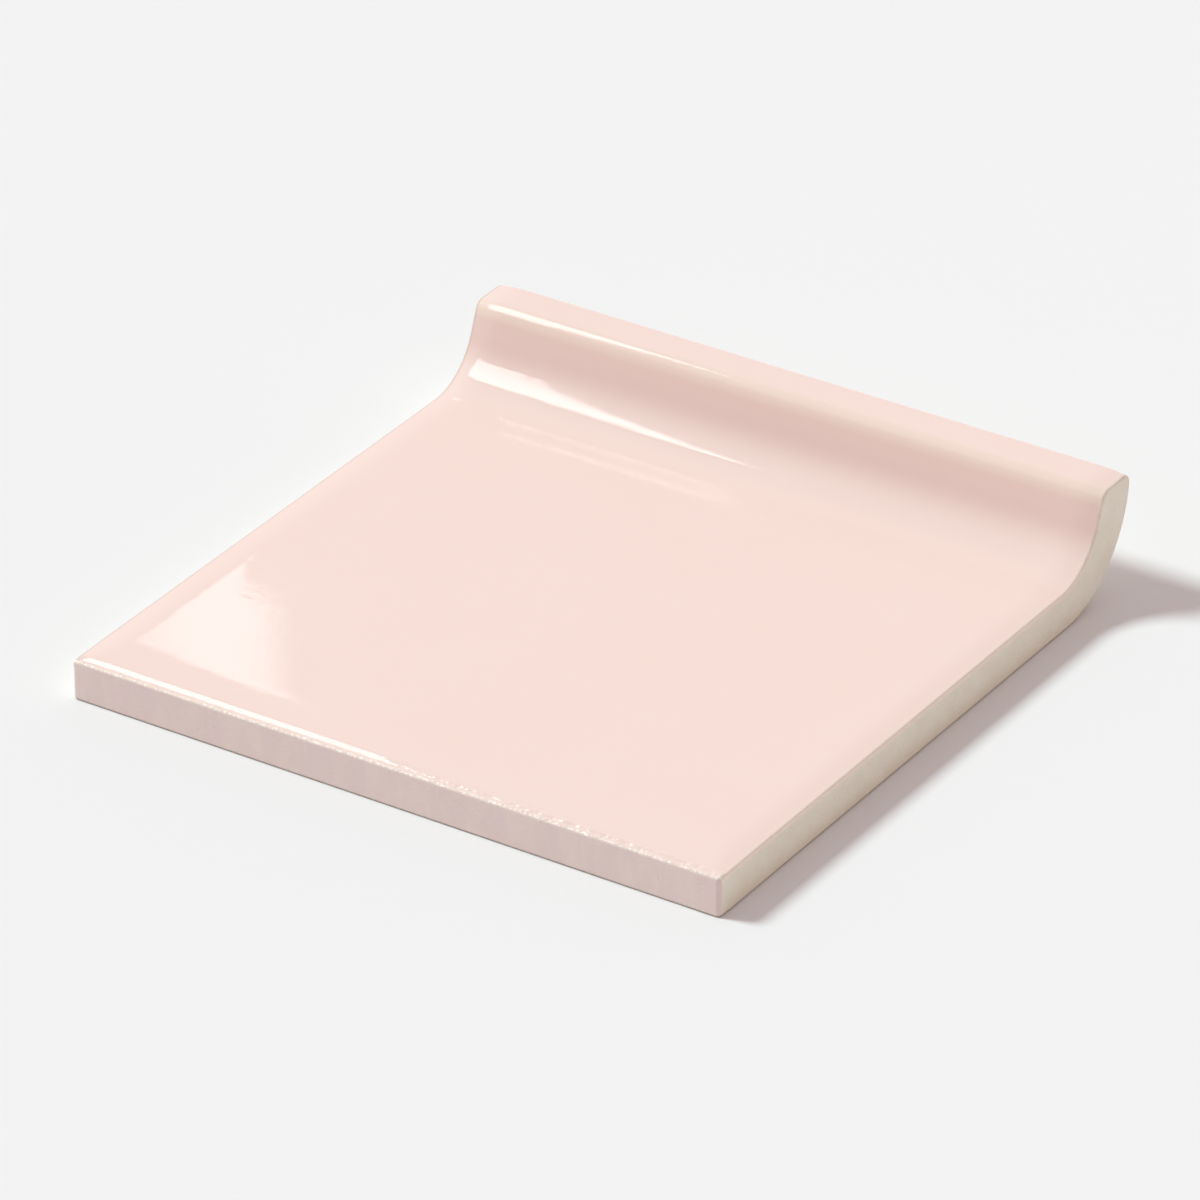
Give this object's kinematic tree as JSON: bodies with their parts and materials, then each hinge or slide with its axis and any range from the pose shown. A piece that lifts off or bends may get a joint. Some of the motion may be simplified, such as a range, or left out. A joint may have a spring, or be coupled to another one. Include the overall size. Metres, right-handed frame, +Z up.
{
  "type": "cove base tile",
  "caption": "Square glazed ceramic skirting tile with a flat face that sweeps through a concave cove into a short upturned toe, cushioned face edges and ribbed bedding face.",
  "frame": {"origin": "on the bedding face, under the middle of the plan", "axes": "+X along the width from joint to joint, +Y from the top edge towards the tip of the toe, +Z up off the bedding face"},
  "size_m": [0.151, 0.1544, 0.0253],
  "materials": {
    "glazed_earthenware": "clear gloss pale pink glaze on the face, bare buff bisque on the joint ends and the bedding face"
  },
  "bodies": {
    "root": {"cove_base_tile": "glazed_earthenware"}
  },
  "joints": []
}
